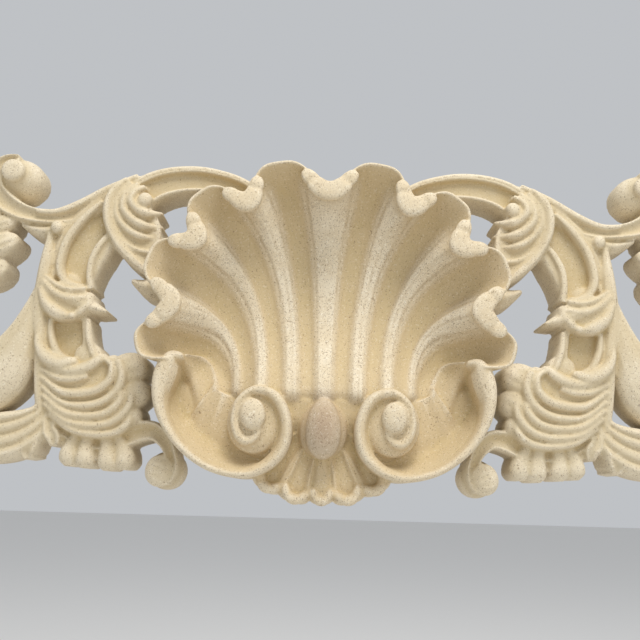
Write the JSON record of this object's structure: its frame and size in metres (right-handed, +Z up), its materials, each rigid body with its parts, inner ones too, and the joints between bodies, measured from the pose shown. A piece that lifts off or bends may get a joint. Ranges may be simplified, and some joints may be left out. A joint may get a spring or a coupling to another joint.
{
  "type": "pediment section",
  "caption": "Rococo pediment section in cast stone: a fluted scallop shell with eared volutes between pierced acanthus scroll wings, flat at the back to fix to a wall",
  "frame": {"origin": "on the flat back, on the line of symmetry, behind the middle of the shell", "axes": "+X along the length to the right as seen from the front, +Z up, the carved face towards -Y, the flat back on the plane Y = 0"},
  "size_m": [0.896, 0.096, 0.344],
  "materials": {
    "cast_stone": "matt, fine speckle"
  },
  "bodies": {
    "root": {"pediment_section": "cast_stone"}
  },
  "joints": []
}
